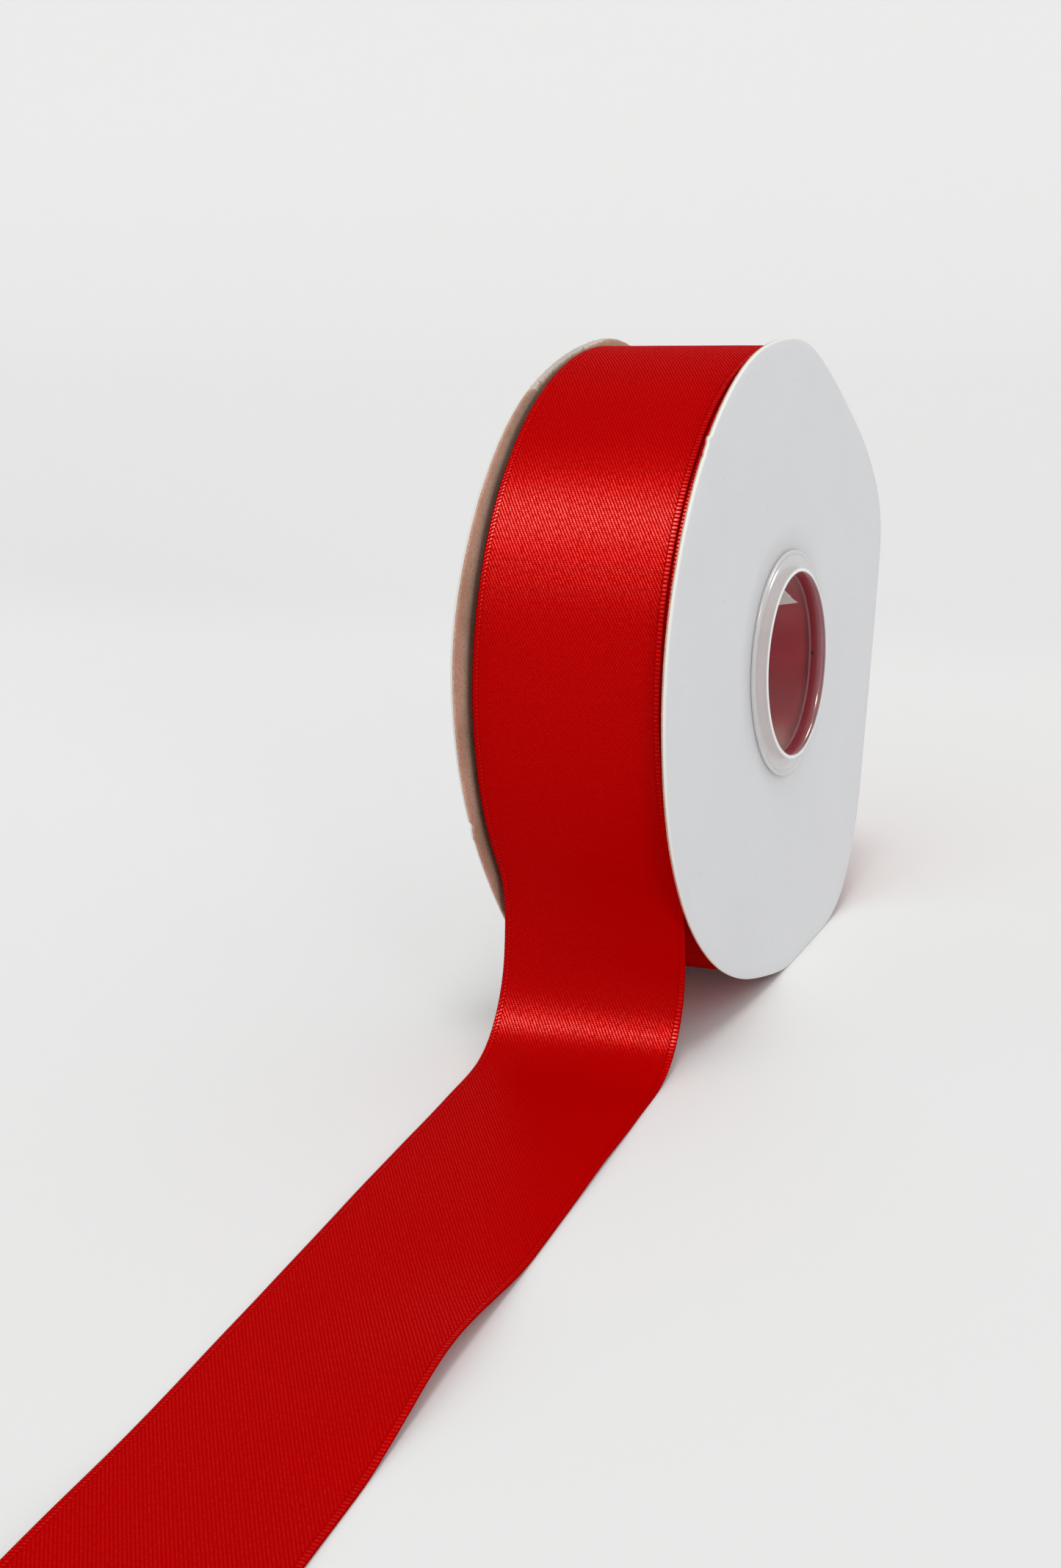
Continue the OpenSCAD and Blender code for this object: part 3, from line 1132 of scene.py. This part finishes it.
# The satin's shine needs stronger lights than the pale floor can bear, so only glossy
# surfaces see these softboxes: (name, direction of the light, size, radiance)
SHINE_COLOUR = (1, 0.97, 0.80)
SHINE_TARGET, SHINE_DISTANCE = Vector((0, -0.04, 0.02)), 1.1
SHINE_SOFTBOXES = (
    ("shine_softbox_high", (-0.395, -0.40, 0.83), (0.30, 0.24), 80.0),
    ("shine_softbox_low", (-0.41, -0.65, 0.69), (0.42, 0.36), 9.0),
    ("shine_softbox_right", (0.395, -0.40, 0.83), (0.30, 0.24), 76.0),
    ("shine_softbox_back", (0.60, 0.50, 0.62), (0.30, 0.24), 60.0),
)


def add_lamp(name, data, direction):
    """A lamp with that light, which shines from that direction."""
    lamp = bpy.data.objects.new(name, data)
    bpy.context.scene.collection.objects.link(lamp)
    lamp.rotation_mode = "QUATERNION"
    lamp.rotation_quaternion = Vector(direction).to_track_quat("Z", "Y")
    return lamp


def light_studio():
    world = bpy.data.worlds.new("studio")
    world.use_nodes = True
    background = world.node_tree.nodes["Background"]
    background.inputs["Color"].default_value = WORLD_COLOUR
    background.inputs["Strength"].default_value = WORLD_STRENGTH
    bpy.context.scene.world = world
    for name, direction, level in FAR_LIGHTS:
        data = bpy.data.lights.new(name, "SUN")
        data.energy = level * math.pi
        data.angle = FAR_LIGHT_WIDTH
        add_lamp(name, data, direction).visible_glossy = False
    for name, direction, size, radiance in SHINE_SOFTBOXES:
        data = bpy.data.lights.new(name, "AREA")
        data.shape = "RECTANGLE"
        data.size, data.size_y = size
        data.energy = radiance * math.pi * size[0] * size[1]
        data.color = SHINE_COLOUR
        lamp = add_lamp(name, data, direction)
        lamp.location = SHINE_TARGET + Vector(direction).normalized() * SHINE_DISTANCE
        lamp.visible_diffuse = False
    bpy.context.scene.view_settings.view_transform = "Standard"


# The camera's place is in metres, its angles in radians: left of straight back, down, and
# tilted. Its lens and sensor are in millimetres.
CAMERA_PLACE = Vector((0.164411, -0.425093, 0.109889))
CAMERA_YAW = 0.4445
CAMERA_PITCH = 0.29
CAMERA_ROLL = -0.0514
CAMERA_LENS, CAMERA_SENSOR = 51.4, 36


def make_camera():
    """The camera looks left and down at the spool, and is tilted a little."""
    data = bpy.data.cameras.new("camera")
    data.lens = CAMERA_LENS
    data.sensor_width = CAMERA_SENSOR
    data.clip_start = 0.01
    camera = bpy.data.objects.new("camera", data)
    bpy.context.scene.collection.objects.link(camera)
    forward = Vector(
        (
            -math.sin(CAMERA_YAW) * math.cos(CAMERA_PITCH),
            math.cos(CAMERA_YAW) * math.cos(CAMERA_PITCH),
            -math.sin(CAMERA_PITCH),
        )
    )
    right = forward.cross(Vector((0, 0, 1))).normalized()
    up = right.cross(forward)
    right_tilted = math.cos(CAMERA_ROLL) * right + math.sin(CAMERA_ROLL) * up
    up_tilted = -math.sin(CAMERA_ROLL) * right + math.cos(CAMERA_ROLL) * up
    turn = Matrix((right_tilted, up_tilted, -forward)).transposed().to_4x4()
    camera.matrix_world = Matrix.Translation(CAMERA_PLACE) @ turn
    bpy.context.scene.camera = camera


# ----------------------------------------------------------------------- build

red_satin = satin("red_satin_cloth")
edges = wound_edges()
kraft = kraft_board()
paper = white_paper()
torn = torn_paper()

make_ribbon(red_satin)
make_under_wrap(red_satin)
make_pack(edges, wound_bore())
make_board("right_board_cut", "right_board", RIGHT_MARKS, False, kraft)
make_board("left_board_cut", "left_board", LEFT_MARKS, True, kraft)
make_paper_face("right_paper_sheet", "right_paper_face", RIGHT_MARKS, paper)
make_paper_face("left_paper_sheet", "left_paper_face", LEFT_MARKS, paper)
make_torn_ply(torn)
make_hub(hazy_plastic())
make_tape(tape_paper())

make_sweep(studio_surface())
light_studio()
make_camera()

bpy.context.view_layer.update()
